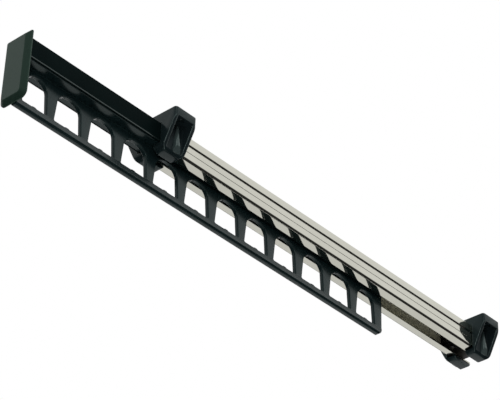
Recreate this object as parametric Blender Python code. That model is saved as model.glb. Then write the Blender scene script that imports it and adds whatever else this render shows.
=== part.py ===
"""Pull-out clothes rail that is screwed under a wardrobe shelf.

A bright steel channel stands in two moulded brackets. A black slide runs in it, with a strip of twelve arched
eyelets for hanger hooks and a pull plate.

Frame: metres, X to the right when facing the handle, Y from the handle into the wardrobe, Z up. The origin is the
middle of the front bracket's top face, the plane that lies against the shelf. The slide stands as in the photograph,
drawn out by PULLED_OUT from its closed place, and runs along Y.
"""

import math

import bmesh
import bpy
from mathutils import Matrix, Vector

MM = 0.001

# Fits
SEAT_GAP = 0.30 * MM             # between pieces that stay together
RUN_GAP = 0.30 * MM              # between the slide and what it runs in
THROUGH = 2.0 * MM               # how far a cutter stands past the face it leaves by

# Brackets: overall length over both, and their section
RAIL_LENGTH = 300.0 * MM
BRACKET_LENGTH = 16.8 * MM
BRACKET_HALF_WIDTH = 19.9 * MM
TOP_PLATE = 5.5 * MM
BRACKET_DEPTH = 25.0 * MM        # from the shelf down to the bottom lips
BRACKET_FOOT_HALF = 10.6 * MM    # where the slanted sides would meet the bottom
HEEL_ROUND = 2.2 * MM            # between a slanted side and the bottom
SHOULDER_ROUND = 1.8 * MM        # between a slanted side and the top plate's edge
LIP_SLOT_HALF = 3.9 * MM         # half of the slot that the web passes through
FOOT_ROUND = 4.0 * MM            # lower front and back edges, seen from the side
WALL_FRONT = 2.4 * MM            # front and back walls of a wing
WALL_INNER = 1.2 * MM            # wall between the channel and the wing's pocket
POCKET_FLOOR = 1.5 * MM
BOSS_RADIUS = 2.4 * MM
BOSS_SHIFT = 1.2 * MM            # of the boss, from the middle of the bracket along Y
BOSS_LEAN = 0.4 * MM             # how far the boss stays inside the slanted side
BOSS_ROOT = 1.0 * MM             # how far the boss reaches into the top plate
WING_HOLE = 4.0 * MM             # clearance hole for a 3.5 mm wood screw
WING_SCREW_HEAD = 6.5 * MM       # room for that screw's head beside the boss
WING_HOLE_Y = -0.8 * MM          # from the middle of the bracket

# Steel channel
CHANNEL_HALF = 9.9 * MM
CHANNEL_HEIGHT = 15.6 * MM
STEEL = 1.0 * MM
SLOT_HALF = 3.8 * MM
LIP_DROOP = 0.6 * MM             # how far the lips hang down towards the slot
CHANNEL_TOP_ROUND = 0.4 * MM
CHANNEL_LOW_ROUND = 1.2 * MM
CHANNEL_INSET = 0.6 * MM         # how far its ends stand inside the brackets
BEAD_DEPTH = 0.4 * MM
BEAD_HALF = 0.45 * MM
BEAD_AT = (0.36, 0.67)           # rolled lines on the sides, as a share of the height
BEAD_SHARE = (1.0, 0.4)          # how deep each of them is

# Slide profile
PULLED_OUT = 98.0 * MM           # from closed to the place in the photograph
MORE_TRAVEL = 107.0 * MM         # from there to the front stop
SLIDE_WALL = 1.6 * MM
SLIDE_EDGE = 0.5 * MM            # flat on its outer edges
PROFILE_DROP = 11.9 * MM         # height of the slide profile
STOP_GROOVE_HALF = 2.6 * MM
STOP_GROOVE_DEPTH = 2.0 * MM
PROFILE_SLOT_HALF = 2.6 * MM

# Hanger strip
EYELETS = 12
PITCH = 25.0 * MM
HEAD_HEIGHT = 2.2 * MM           # of the head that hangs in the profile
FLANGE_HALF = 7.4 * MM
FLANGE_THICK = 0.8 * MM
FLANGE_EDGE = 0.3 * MM           # flat on its lower edges
WEB_HALF = 1.35 * MM
WEB_FILLET = 0.6 * MM
RAIL_HALF = 2.4 * MM
RAIL_HEIGHT = 5.2 * MM
RAIL_CHAMFER = 1.2 * MM
RAIL_CHAMFER_RISE = 0.6          # height of that chamfer, as a share of its width
RAIL_RISE = 0.9 * MM             # how far the rail stands up the posts
RAIL_SLOPE = 0.5 * MM            # height of the slope between rail and post
EYELET_WIDTH = 20.6 * MM         # over the rim
EYELET_LEAN = 1.1 * MM           # of each side, up to where the arch springs
EYELET_SIDE = 11.45 * MM         # height of the sides
EYELET_ARCH = 7.9 * MM           # rise of the arch above them
EYELET_RIM = 0.55 * MM           # flat along the edges of each opening
EYELET_BOTTOM = 41.75 * MM       # below the shelf
EYELET_CORNER = 1.0 * MM         # lower corners
SEAT_BUMP = 0.5 * MM             # the small seat that parts two hooks
SEAT_OFFSETS = (-2.4 * MM, -1.2 * MM, 0.6 * MM, 1.6 * MM)
END_POST = 3.7 * MM              # first and last post
STRIP_SPARE = 0.9 * MM           # length of the strip beyond a whole number of pitches
TAIL_ROUND = 2.6 * MM
ARCH_STEPS = 14

# Handle plate
HANDLE_HALF = 9.9 * MM
HANDLE_TOP = 2.7 * MM            # below the shelf
HANDLE_BOTTOM = 46.6 * MM
HANDLE_BACK = 0.6 * MM           # full-size part of its thickness
HANDLE_BEVEL = 2.7 * MM          # how far the front face stands in from the outline
HANDLE_RISE = 2.5 * MM           # how far it stands forward
HANDLE_ROUND_TOP = 1.0 * MM
HANDLE_ROUND_LOW = 3.6 * MM
HANDLE_ROUND_LEAST = 0.5 * MM
SPIGOT_LENGTH = 14.0 * MM

# Stops and fixings
PLUG_LENGTH = 22.0 * MM
PLUG_DROP = 10.0 * MM
BUMPER = 2.2 * MM
BUMPER_INSET = 0.6 * MM
STOP_RIVET_Y = 14.0 * MM
STOP_RIVET_RADIUS = 1.6 * MM
STOP_RIVET_TIP = 0.2 * MM        # more room under the stud than the run needs
SCREW_RADIUS = 1.4 * MM
SCREW_HEAD_RADIUS = 2.6 * MM
SCREW_HEAD = 1.9 * MM
SCREW_SINK = 0.4 * MM
SCREW_X = 6.0 * MM
SCREW_TIP_INSET = 0.1 * MM       # how far the tip stays above the channel's ceiling
PLUG_RIVET_X = 4.4 * MM
PLUG_RIVET_RADIUS = 0.9 * MM
PLUG_RIVET_BACK = 4.5 * MM       # from the front of the plug
GLIDE_PLATE = 1.6 * MM
GLIDE_INSET = 0.2 * MM

# Colours: base colour, metallic, roughness
NICKEL = ((0.62, 0.61, 0.58), 1.0, 0.12)
ZINC = ((0.55, 0.56, 0.57), 1.0, 0.3)
BRACKET_BLACK = ((0.012, 0.014, 0.014), 0.0, 0.35)
SLIDE_BLACK = ((0.006, 0.007, 0.008), 0.0, 0.3)
STRIP_BLACK = ((0.012, 0.014, 0.014), 0.0, 0.3)
HANDLE_BLACK = ((0.014, 0.017, 0.016), 0.0, 0.4)
GLIDE_WHITE = ((0.72, 0.72, 0.7), 0.0, 0.4)
PLUG_BLACK = ((0.01, 0.011, 0.012), 0.0, 0.35)
RUBBER = ((0.01, 0.01, 0.01), 0.0, 0.8)

# Derived places
FRONT_FACE = -BRACKET_LENGTH / 2
REAR_BRACKET_Y = RAIL_LENGTH - BRACKET_LENGTH
WING_HOLE_X = BRACKET_HALF_WIDTH - WING_SCREW_HEAD / 2
REAR_FACE = REAR_BRACKET_Y + BRACKET_LENGTH / 2
CHANNEL_TOP = -TOP_PLATE - SEAT_GAP
CHANNEL_BOTTOM = CHANNEL_TOP - CHANNEL_HEIGHT
CHANNEL_CEILING = CHANNEL_TOP - STEEL
CHANNEL_START = FRONT_FACE + CHANNEL_INSET
CHANNEL_END = REAR_FACE - CHANNEL_INSET
PROFILE_HALF = CHANNEL_HALF - STEEL - RUN_GAP
PROFILE_TOP = CHANNEL_CEILING - RUN_GAP
PROFILE_BOTTOM = PROFILE_TOP - PROFILE_DROP
PROFILE_LIP_TOP = PROFILE_BOTTOM + SLIDE_WALL
PROFILE_FLOOR = PROFILE_TOP - STOP_GROOVE_DEPTH
PROFILE_HOLLOW_TOP = PROFILE_FLOOR - SLIDE_WALL
PROFILE_HOLLOW_HALF = PROFILE_HALF - SLIDE_WALL
HEAD_LOW = PROFILE_LIP_TOP + SEAT_GAP
HEAD_TOP = HEAD_LOW + HEAD_HEIGHT
HEAD_HALF = PROFILE_HOLLOW_HALF - SEAT_GAP
FLANGE_BOTTOM = CHANNEL_BOTTOM + STEEL + RUN_GAP
FLANGE_TOP = FLANGE_BOTTOM + FLANGE_THICK
STRIP_BOTTOM = -EYELET_BOTTOM - RAIL_HEIGHT - RAIL_CHAMFER * RAIL_CHAMFER_RISE
HANDLE_BACK_Y = FRONT_FACE - RUN_GAP - PULLED_OUT
SLIDE_START = HANDLE_BACK_Y + SEAT_GAP
PLUG_END = CHANNEL_END - SEAT_GAP
PLUG_START = PLUG_END - PLUG_LENGTH
PLUG_RIVET_Y = PLUG_START + PLUG_RIVET_BACK
BUMPER_START = PLUG_START - SEAT_GAP - BUMPER
GLIDE_END = BUMPER_START - RUN_GAP - PULLED_OUT
PROFILE_END = GLIDE_END - GLIDE_PLATE - SEAT_GAP
STRIP_END = SLIDE_START + EYELETS * PITCH + STRIP_SPARE
GLIDE_START = STOP_RIVET_Y + STOP_RIVET_RADIUS + RUN_GAP + MORE_TRAVEL
SIDES = (-1, 1)


class Workshop:
    """Builds objects from meshes and keeps parts, cutters and finishes in order."""

    def __init__(self) -> None:
        for thing in list(bpy.data.objects):
            bpy.data.objects.remove(thing, do_unlink=True)
        self.parts = bpy.data.collections.new("pull_out_clothes_rail")
        self.cutters = bpy.data.collections.new("cutters")
        for group in (self.parts, self.cutters):
            bpy.context.scene.collection.children.link(group)
        self.finishes: dict[str, bpy.types.Material] = {}

    def finish(self, name: str, look: tuple) -> bpy.types.Material:
        """Return a plain Principled material of a colour, metallic and roughness, made on first use."""
        if name not in self.finishes:
            colour, metallic, roughness = look
            material = bpy.data.materials.new(name)
            material.use_nodes = True
            shader = next(n for n in material.node_tree.nodes if n.type == "BSDF_PRINCIPLED")
            shader.inputs["Base Color"].default_value = (*colour, 1.0)
            shader.inputs["Metallic"].default_value = metallic
            shader.inputs["Roughness"].default_value = roughness
            self.finishes[name] = material
        return self.finishes[name]

    def put(self, name: str, mesh: bmesh.types.BMesh, material: bpy.types.Material = None) -> bpy.types.Object:
        """Make an object of the mesh: a part when a material is given, otherwise a cutter."""
        bmesh.ops.recalc_face_normals(mesh, faces=mesh.faces)
        data = bpy.data.meshes.new(name)
        mesh.to_mesh(data)
        mesh.free()
        thing = bpy.data.objects.new(name, data)
        if material is not None:
            data.materials.append(material)
            self.parts.objects.link(thing)
        else:
            self.cutters.objects.link(thing)
            thing.hide_render = True
            thing.display_type = "WIRE"
        return thing

    def boolean(self, thing: bpy.types.Object, other: bpy.types.Object, operation: str) -> None:
        """Add an exact Boolean modifier."""
        step = thing.modifiers.new(f"{operation.lower()} {other.name}", "BOOLEAN")
        step.operation = operation
        step.solver = "EXACT"
        step.object = other

    def cut(self, thing: bpy.types.Object, other: bpy.types.Object) -> None:
        """Cut other out of thing."""
        self.boolean(thing, other, "DIFFERENCE")

    def join(self, thing: bpy.types.Object, other: bpy.types.Object) -> None:
        """Join other to thing."""
        self.boolean(thing, other, "UNION")


def outline_prism(mesh: bmesh.types.BMesh, outline: list, plane: str, start: float, end: float) -> None:
    """Fill an outline in a plane and extrude it from start to end along the third axis."""
    axis = {"XZ": 1, "YZ": 0, "XY": 2}[plane]
    verts = []
    for a, b in outline:
        place = [a, b]
        place.insert(axis, start)
        verts.append(mesh.verts.new(place))
    edges = [mesh.edges.new((verts[i], verts[(i + 1) % len(verts)])) for i in range(len(verts))]
    face = bmesh.ops.edgeloop_fill(mesh, edges=edges)["faces"]
    grown = bmesh.ops.extrude_face_region(mesh, geom=face)["geom"]
    shift = [0.0, 0.0, 0.0]
    shift[axis] = end - start
    bmesh.ops.translate(mesh, vec=shift, verts=[v for v in grown if isinstance(v, bmesh.types.BMVert)])


def prism(outline: list, plane: str, start: float, end: float) -> bmesh.types.BMesh:
    """A mesh holding one extruded outline."""
    mesh = bmesh.new()
    outline_prism(mesh, outline, plane, start, end)
    return mesh


def box(mesh: bmesh.types.BMesh, low: tuple, high: tuple) -> None:
    """Add a closed box between two corners."""
    for v in bmesh.ops.create_cube(mesh, size=1.0)["verts"]:
        v.co = Vector([low[i] + (v.co[i] + 0.5) * (high[i] - low[i]) for i in range(3)])


def cylinder(mesh: bmesh.types.BMesh, x: float, y: float, low: float, high: float, radius: float,
             segments: int = 16) -> None:
    """Add a closed upright cylinder."""
    middle = Matrix.Translation((x, y, (low + high) / 2))
    bmesh.ops.create_cone(mesh, cap_ends=True, segments=segments, radius1=radius, radius2=radius,
                          depth=high - low, matrix=middle)


def loft(mesh: bmesh.types.BMesh, rings: list) -> None:
    """Add a closed body through rings of places, all with the same number of points.

    The first ring is filled and then extruded to each of the others.
    """
    verts = [mesh.verts.new(place) for place in rings[0]]
    edges = [mesh.edges.new((verts[i], verts[(i + 1) % len(verts)])) for i in range(len(verts))]
    face = bmesh.ops.edgeloop_fill(mesh, edges=edges)["faces"][0]
    number = {v: i for i, v in enumerate(verts)}
    for step, ring in enumerate(rings[1:]):
        before = [(v.co.copy(), number[v]) for v in face.verts]
        grown = bmesh.ops.extrude_face_region(mesh, geom=[face])["geom"]
        if step and face.is_valid:
            bmesh.ops.delete(mesh, geom=[face], context="FACES_ONLY")
        face = next(g for g in grown if isinstance(g, bmesh.types.BMFace))
        number = {v: min(before, key=lambda pair: (pair[0] - v.co).length)[1] for v in face.verts}
        for v, i in number.items():
            v.co = Vector(ring[i])


def lathe(mesh: bmesh.types.BMesh, x: float, y: float, rings: list, segments: int = 20) -> None:
    """Add a closed turned body from (radius, height) rings, bottom first."""
    turns = [2 * math.pi * i / segments for i in range(segments)]
    loft(mesh, [[(x + radius * math.cos(t), y + radius * math.sin(t), height) for t in turns]
                for radius, height in rings])


def arc(cx: float, cy: float, radius: float, begin: float, finish: float, steps: int) -> list:
    """Points on an arc, angles in degrees, both ends included."""
    turns = [math.radians(begin + (finish - begin) * i / steps) for i in range(steps + 1)]
    return [(cx + radius * math.cos(t), cy + radius * math.sin(t)) for t in turns]


def rounded(corners: list, steps: int = 5) -> list:
    """An open outline of (x, z, radius) corners, with an arc at each corner that has a radius."""
    outline = []
    for i, (x, z, radius) in enumerate(corners):
        here = Vector((x, z))
        if not radius:
            outline.append((x, z))
            continue
        back = (Vector(corners[i - 1][:2]) - here).normalized()
        ahead = (Vector(corners[i + 1][:2]) - here).normalized()
        half = back.angle(ahead) / 2
        middle = here + (back + ahead).normalized() * radius / math.sin(half)
        first = here + back * radius / math.tan(half) - middle
        last = here + ahead * radius / math.tan(half) - middle
        for step in range(steps + 1):
            spoke = first.lerp(last, step / steps).normalized() * radius
            outline.append(tuple(middle + spoke))
    return outline


def flipped(half: list) -> list:
    """The mirror image of a half outline about X = 0, listed the other way round."""
    return [(-x, z) for x, z in reversed(half)]


class Channel:
    """The steel C-profile, open below, with two rolled lines on each side."""

    def outline(self) -> list:
        """Its section: the outside from the slot round to the slot, then the inside back again."""
        top, low = CHANNEL_TOP_ROUND, CHANNEL_LOW_ROUND
        right = [(SLOT_HALF, CHANNEL_BOTTOM - LIP_DROOP)]
        right += arc(CHANNEL_HALF - low, CHANNEL_BOTTOM + low, low, -90, 0, 5)
        for share, depth in reversed(list(zip(BEAD_AT, BEAD_SHARE))):
            z = CHANNEL_TOP - share * CHANNEL_HEIGHT
            right.append((CHANNEL_HALF, z - BEAD_HALF * depth))
            right.append((CHANNEL_HALF - BEAD_DEPTH * depth, z))
            right.append((CHANNEL_HALF, z + BEAD_HALF * depth))
        right += arc(CHANNEL_HALF - top, CHANNEL_TOP - top, top, 0, 90, 4)
        inner = CHANNEL_HALF - STEEL
        inside = [(-SLOT_HALF, CHANNEL_BOTTOM - LIP_DROOP + STEEL), (-inner, CHANNEL_BOTTOM + STEEL),
                  (-inner, CHANNEL_CEILING)]
        return right + flipped(right) + inside + flipped(inside)

    def build(self, shop: Workshop) -> None:
        """Extrude the section and drill it for screws, stop rivet and plug rivets."""
        mesh = prism(self.outline(), "XZ", CHANNEL_START, CHANNEL_END)
        body = shop.put("channel", mesh, shop.finish("bright_nickel", NICKEL))
        holes = bmesh.new()
        drilled = [(0.0, STOP_RIVET_Y, STOP_RIVET_RADIUS)]
        for side in SIDES:
            drilled.append((side * SCREW_X, 0.0, SCREW_RADIUS))
            drilled.append((side * SCREW_X, REAR_BRACKET_Y, SCREW_RADIUS))
            drilled.append((side * PLUG_RIVET_X, PLUG_RIVET_Y, PLUG_RIVET_RADIUS))
        for x, y, radius in drilled:
            cylinder(holes, x, y, CHANNEL_CEILING - THROUGH, CHANNEL_TOP + THROUGH, radius + SEAT_GAP)
        shop.cut(body, shop.put("channel_holes", holes))


class Bracket:
    """A moulded bracket that rings the channel, with a screw pocket in each wing."""

    def __init__(self, name: str, y: float) -> None:
        self.name = name
        self.y = y
        self.front = y - BRACKET_LENGTH / 2
        self.back = y + BRACKET_LENGTH / 2
        self.inner = CHANNEL_HALF + SEAT_GAP + WALL_INNER
        self.floor = -BRACKET_DEPTH + POCKET_FLOOR

    def outline(self) -> list:
        """Its section: slanted sides with round heels and shoulders, and the room for the channel."""
        right = rounded([(LIP_SLOT_HALF, -BRACKET_DEPTH, 0.0), (BRACKET_FOOT_HALF, -BRACKET_DEPTH, HEEL_ROUND),
                         (BRACKET_HALF_WIDTH, -TOP_PLATE, SHOULDER_ROUND), (BRACKET_HALF_WIDTH, 0.0, 0.0)])
        room = CHANNEL_HALF + SEAT_GAP
        low = CHANNEL_BOTTOM - LIP_DROOP - SEAT_GAP
        inside = [(-LIP_SLOT_HALF, low), (-room, low), (-room, -TOP_PLATE)]
        return right + flipped(right) + inside + flipped(inside)

    def side_view(self) -> list:
        """Outline from the side, with round lower edges."""
        r = FOOT_ROUND
        low = arc(self.back - r, -BRACKET_DEPTH + r, r, -90, 0, 6)
        low += [(self.back, THROUGH), (self.front, THROUGH)]
        return low + arc(self.front + r, -BRACKET_DEPTH + r, r, 180, 270, 6)

    def slant(self, z: float) -> float:
        """Half width of the slanted sides at a height."""
        share = (z + BRACKET_DEPTH) / (BRACKET_DEPTH - TOP_PLATE)
        return BRACKET_FOOT_HALF + share * (BRACKET_HALF_WIDTH - BRACKET_FOOT_HALF)

    def pockets(self) -> bmesh.types.BMesh:
        """The open screw pocket of each wing."""
        mesh = bmesh.new()
        out = BRACKET_HALF_WIDTH + THROUGH
        for side in SIDES:
            corners = [(self.inner, -TOP_PLATE), (out, -TOP_PLATE), (out, self.floor), (self.inner, self.floor)]
            outline_prism(mesh, [(side * x, z) for x, z in corners], "XZ",
                          self.front + WALL_FRONT, self.back - WALL_FRONT)
        return mesh

    def bosses(self, shop: Workshop) -> bpy.types.Object:
        """The round boss in each pocket, kept inside the slanted side."""
        low = self.floor - POCKET_FLOOR / 2
        mesh = bmesh.new()
        for side in SIDES:
            cylinder(mesh, side * self.inner, self.y + BOSS_SHIFT, low, -TOP_PLATE + BOSS_ROOT, BOSS_RADIUS, 24)
        boss = shop.put(f"{self.name}_bosses", mesh)
        high = -TOP_PLATE + THROUGH
        back = self.inner - WALL_INNER * 0.9
        corners = [(back, low), (self.slant(low) - BOSS_LEAN, low), (self.slant(high) - BOSS_LEAN, high),
                   (back, high)]
        limit = bmesh.new()
        for side in SIDES:
            outline_prism(limit, [(side * x, z) for x, z in corners], "XZ", self.front, self.back)
        shop.boolean(boss, shop.put(f"{self.name}_boss_limit", limit), "INTERSECT")
        return boss

    def build(self, shop: Workshop) -> None:
        """Extrude the section, round it from the side, and add pockets, bosses and holes."""
        mesh = prism(self.outline(), "XZ", self.front - THROUGH, self.back + THROUGH)
        body = shop.put(self.name, mesh, shop.finish("bracket_black", BRACKET_BLACK))
        wide = BRACKET_HALF_WIDTH + THROUGH
        side_view = shop.put(f"{self.name}_side_view", prism(self.side_view(), "YZ", -wide, wide))
        shop.boolean(body, side_view, "INTERSECT")
        shop.cut(body, shop.put(f"{self.name}_pockets", self.pockets()))
        shop.join(body, self.bosses(shop))
        holes, sinks = bmesh.new(), bmesh.new()
        sink = -SCREW_SINK - SCREW_HEAD - SEAT_GAP
        for side in SIDES:
            cylinder(holes, side * WING_HOLE_X, self.y + WING_HOLE_Y, -TOP_PLATE - THROUGH, THROUGH,
                     WING_HOLE / 2, 24)
            cylinder(holes, side * SCREW_X, self.y, -TOP_PLATE - THROUGH, THROUGH, SCREW_RADIUS + SEAT_GAP)
            cylinder(sinks, side * SCREW_X, self.y, sink, THROUGH, SCREW_HEAD_RADIUS + SEAT_GAP, 24)
        shop.cut(body, shop.put(f"{self.name}_holes", holes))
        shop.cut(body, shop.put(f"{self.name}_counterbores", sinks))


class ChannelScrews:
    """Four screws with sunk heads that hold the channel up into the brackets' top plates."""

    def screw(self, x: float, y: float) -> bmesh.types.BMesh:
        """One screw: point, shank and head."""
        top = -SCREW_SINK
        low = top - SCREW_HEAD
        tip = CHANNEL_CEILING + SCREW_TIP_INSET
        mesh = bmesh.new()
        lathe(mesh, x, y, [(SCREW_RADIUS * 0.8, tip), (SCREW_RADIUS, tip + SCREW_RADIUS * 0.3),
                           (SCREW_RADIUS, low), (SCREW_HEAD_RADIUS, low),
                           (SCREW_HEAD_RADIUS, top - SCREW_HEAD * 0.25), (SCREW_HEAD_RADIUS * 0.8, top)])
        return mesh

    def recess(self, x: float, y: float) -> bmesh.types.BMesh:
        """The cross in a screw's head."""
        arm, width = SCREW_HEAD_RADIUS * 0.6, SCREW_HEAD_RADIUS * 0.16
        quarter = [(arm, -width), (arm, width), (width, width)]
        cross = []
        for _ in range(4):
            cross += [(x + a, y + b) for a, b in quarter]
            quarter = [(-b, a) for a, b in quarter]
        return prism(cross, "XY", -SCREW_SINK - SCREW_HEAD * 0.55, -SCREW_SINK + THROUGH)

    def build(self, shop: Workshop) -> None:
        """Put a left and a right screw in each bracket."""
        for end, y in (("front", 0.0), ("rear", REAR_BRACKET_Y)):
            for side, x in (("left", -SCREW_X), ("right", SCREW_X)):
                name = f"channel_screw_{end}_{side}"
                body = shop.put(name, self.screw(x, y), shop.finish("zinc", ZINC))
                shop.cut(body, shop.put(f"{name}_recess", self.recess(x, y)))


class SlideProfile:
    """The black profile that runs inside the channel, with a stop groove on top and a slot below for the strip."""

    def build(self, shop: Workshop) -> None:
        """Extrude its section."""
        edge = SLIDE_EDGE
        right = [(PROFILE_SLOT_HALF, PROFILE_LIP_TOP), (PROFILE_SLOT_HALF, PROFILE_BOTTOM),
                 (PROFILE_HALF - edge, PROFILE_BOTTOM), (PROFILE_HALF, PROFILE_BOTTOM + edge),
                 (PROFILE_HALF, PROFILE_TOP - edge), (PROFILE_HALF - edge, PROFILE_TOP),
                 (STOP_GROOVE_HALF, PROFILE_TOP), (STOP_GROOVE_HALF, PROFILE_FLOOR)]
        hollow = [(-PROFILE_HOLLOW_HALF, PROFILE_LIP_TOP), (-PROFILE_HOLLOW_HALF, PROFILE_HOLLOW_TOP)]
        outline = right + flipped(right) + hollow + flipped(hollow)
        mesh = prism(outline, "XZ", SLIDE_START, PROFILE_END)
        shop.put("slide_profile", mesh, shop.finish("slide_black", SLIDE_BLACK))


class HangerStrip:
    """The moulded strip with arched eyelets; its T-shaped head is held in the slide profile."""

    def section(self) -> list:
        """Rail, web, flange and head."""
        rail_low = -EYELET_BOTTOM - RAIL_HEIGHT
        rail_top = -EYELET_BOTTOM + RAIL_RISE
        neck = PROFILE_SLOT_HALF - SEAT_GAP
        right = [(RAIL_HALF - RAIL_CHAMFER, STRIP_BOTTOM), (RAIL_HALF, rail_low),
                 (RAIL_HALF, rail_top - RAIL_SLOPE), (WEB_HALF, rail_top)]
        right += arc(WEB_HALF + WEB_FILLET, FLANGE_BOTTOM - WEB_FILLET, WEB_FILLET, 180, 90, 3)
        right += [(FLANGE_HALF - FLANGE_EDGE, FLANGE_BOTTOM), (FLANGE_HALF, FLANGE_BOTTOM + FLANGE_EDGE),
                  (FLANGE_HALF, FLANGE_TOP), (neck, FLANGE_TOP), (neck, HEAD_LOW), (HEAD_HALF, HEAD_LOW),
                  (HEAD_HALF, HEAD_TOP)]
        return right + flipped(right)

    def eyelet_loop(self, front: float, back: float, inset: float) -> list:
        """One opening's outline in the YZ plane: foot with a small hook seat, leaning sides, and an arch.

        Sides and arch are drawn in by inset.
        """
        low = -EYELET_BOTTOM
        corner = EYELET_CORNER
        nick = corner * 0.3
        middle = (front + back) / 2
        front, back = front + inset, back - inset
        points = [(front + nick, low + nick), (front + corner, low)]
        for offset, share in zip(SEAT_OFFSETS, (0.0, 1.0, 1.0, 0.0)):
            points.append((middle + offset, low + share * SEAT_BUMP))
        points += [(back - corner, low), (back - nick, low + nick), (back, low + corner)]
        reach = (back - front) / 2 - EYELET_LEAN
        for step in range(ARCH_STEPS + 1):
            turn = math.pi * step / ARCH_STEPS
            rise = (EYELET_ARCH - inset) * math.sin(turn)
            points.append((middle + reach * math.cos(turn), low + EYELET_SIDE + rise))
        points.append((front, low + corner))
        return points

    def eyelets(self) -> bmesh.types.BMesh:
        """Cutters for all openings, widened to a rim at both faces of the web."""
        mesh = bmesh.new()
        reach = RAIL_HALF + THROUGH
        last = STRIP_END - END_POST
        for number in range(EYELETS):
            back = last - (EYELETS - 1 - number) * PITCH
            front = max(back - EYELET_WIDTH, SLIDE_START + END_POST)
            face = self.eyelet_loop(front, back, 0.0)
            core = self.eyelet_loop(front, back, EYELET_RIM)
            half = [(WEB_HALF - EYELET_RIM, core), (WEB_HALF, face), (reach, face)]
            stations = [(-x, ring) for x, ring in reversed(half)] + half
            loft(mesh, [[(x, y, z) for y, z in ring] for x, ring in stations])
        bmesh.ops.triangulate(mesh, faces=mesh.faces)
        return mesh

    def build(self, shop: Workshop) -> None:
        """Extrude the section, clear its tail of flange and head, and cut the openings and the tail's corner."""
        mesh = prism(self.section(), "XZ", SLIDE_START, STRIP_END)
        body = shop.put("hanger_strip", mesh, shop.finish("strip_black", STRIP_BLACK))
        wide = FLANGE_HALF + THROUGH
        relief = bmesh.new()
        box(relief, (-wide, PROFILE_END, CHANNEL_BOTTOM - RUN_GAP), (wide, STRIP_END + THROUGH, CHANNEL_TOP))
        shop.cut(body, shop.put("tail_relief", relief))
        shop.cut(body, shop.put("eyelet_cutters", self.eyelets()))
        r = TAIL_ROUND
        corner = arc(STRIP_END - r, STRIP_BOTTOM + r, r, -90, 0, 6)
        corner += [(STRIP_END + THROUGH, STRIP_BOTTOM + r), (STRIP_END + THROUGH, STRIP_BOTTOM - THROUGH),
                   (STRIP_END - r, STRIP_BOTTOM - THROUGH)]
        shop.cut(body, shop.put("tail_corner", prism(corner, "YZ", -wide, wide)))


class HandlePlate:
    """The pull plate on the slide's front end, with a spigot that fills the end of the profile."""

    def outline(self, inset: float) -> list:
        """Plate outline in the XZ plane, drawn in by inset."""
        half = HANDLE_HALF - inset
        top, low = -HANDLE_TOP - inset, -HANDLE_BOTTOM + inset
        upper = HANDLE_ROUND_TOP
        lower = max(HANDLE_ROUND_LOW - inset * 0.5, HANDLE_ROUND_LEAST)
        right = arc(half - lower, low + lower, lower, -90, 0, 6) + arc(half - upper, top - upper, upper, 0, 90, 3)
        return right + flipped(right)

    def build(self, shop: Workshop) -> None:
        """Loft the plate with its chamfer and join the spigot."""
        edge = HANDLE_BACK_Y - HANDLE_BACK
        stations = [(HANDLE_BACK_Y, 0.0), (edge, 0.0), (edge - HANDLE_RISE, HANDLE_BEVEL)]
        mesh = bmesh.new()
        loft(mesh, [[(x, y, z) for x, z in self.outline(inset)] for y, inset in stations])
        body = shop.put("handle_plate", mesh, shop.finish("handle_black", HANDLE_BLACK))
        spigot = bmesh.new()
        box(spigot, (-HEAD_HALF, HANDLE_BACK_Y - HANDLE_BACK / 2, HEAD_TOP + SEAT_GAP),
            (HEAD_HALF, SLIDE_START + SPIGOT_LENGTH, PROFILE_HOLLOW_TOP - SEAT_GAP))
        shop.join(body, shop.put("handle_spigot", spigot))


class TailGlide:
    """A low-friction shoe on the slide's tail: its tongue fills the end of the stop groove and meets the stop rivet."""

    def build(self, shop: Workshop) -> None:
        """Extrude the tongue and join the end plate."""
        half = STOP_GROOVE_HALF - SEAT_GAP
        low = PROFILE_FLOOR + SEAT_GAP
        end = GLIDE_END - GLIDE_PLATE / 2
        outline = [(GLIDE_START, low), (end, low), (end, PROFILE_TOP), (GLIDE_START, PROFILE_TOP)]
        body = shop.put("tail_glide", prism(outline, "YZ", -half, half), shop.finish("glide_white", GLIDE_WHITE))
        plate = bmesh.new()
        wide = PROFILE_HALF - GLIDE_INSET
        box(plate, (-wide, GLIDE_END - GLIDE_PLATE, PROFILE_BOTTOM), (wide, GLIDE_END, PROFILE_TOP))
        shop.join(body, shop.put("glide_plate", plate))


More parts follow.
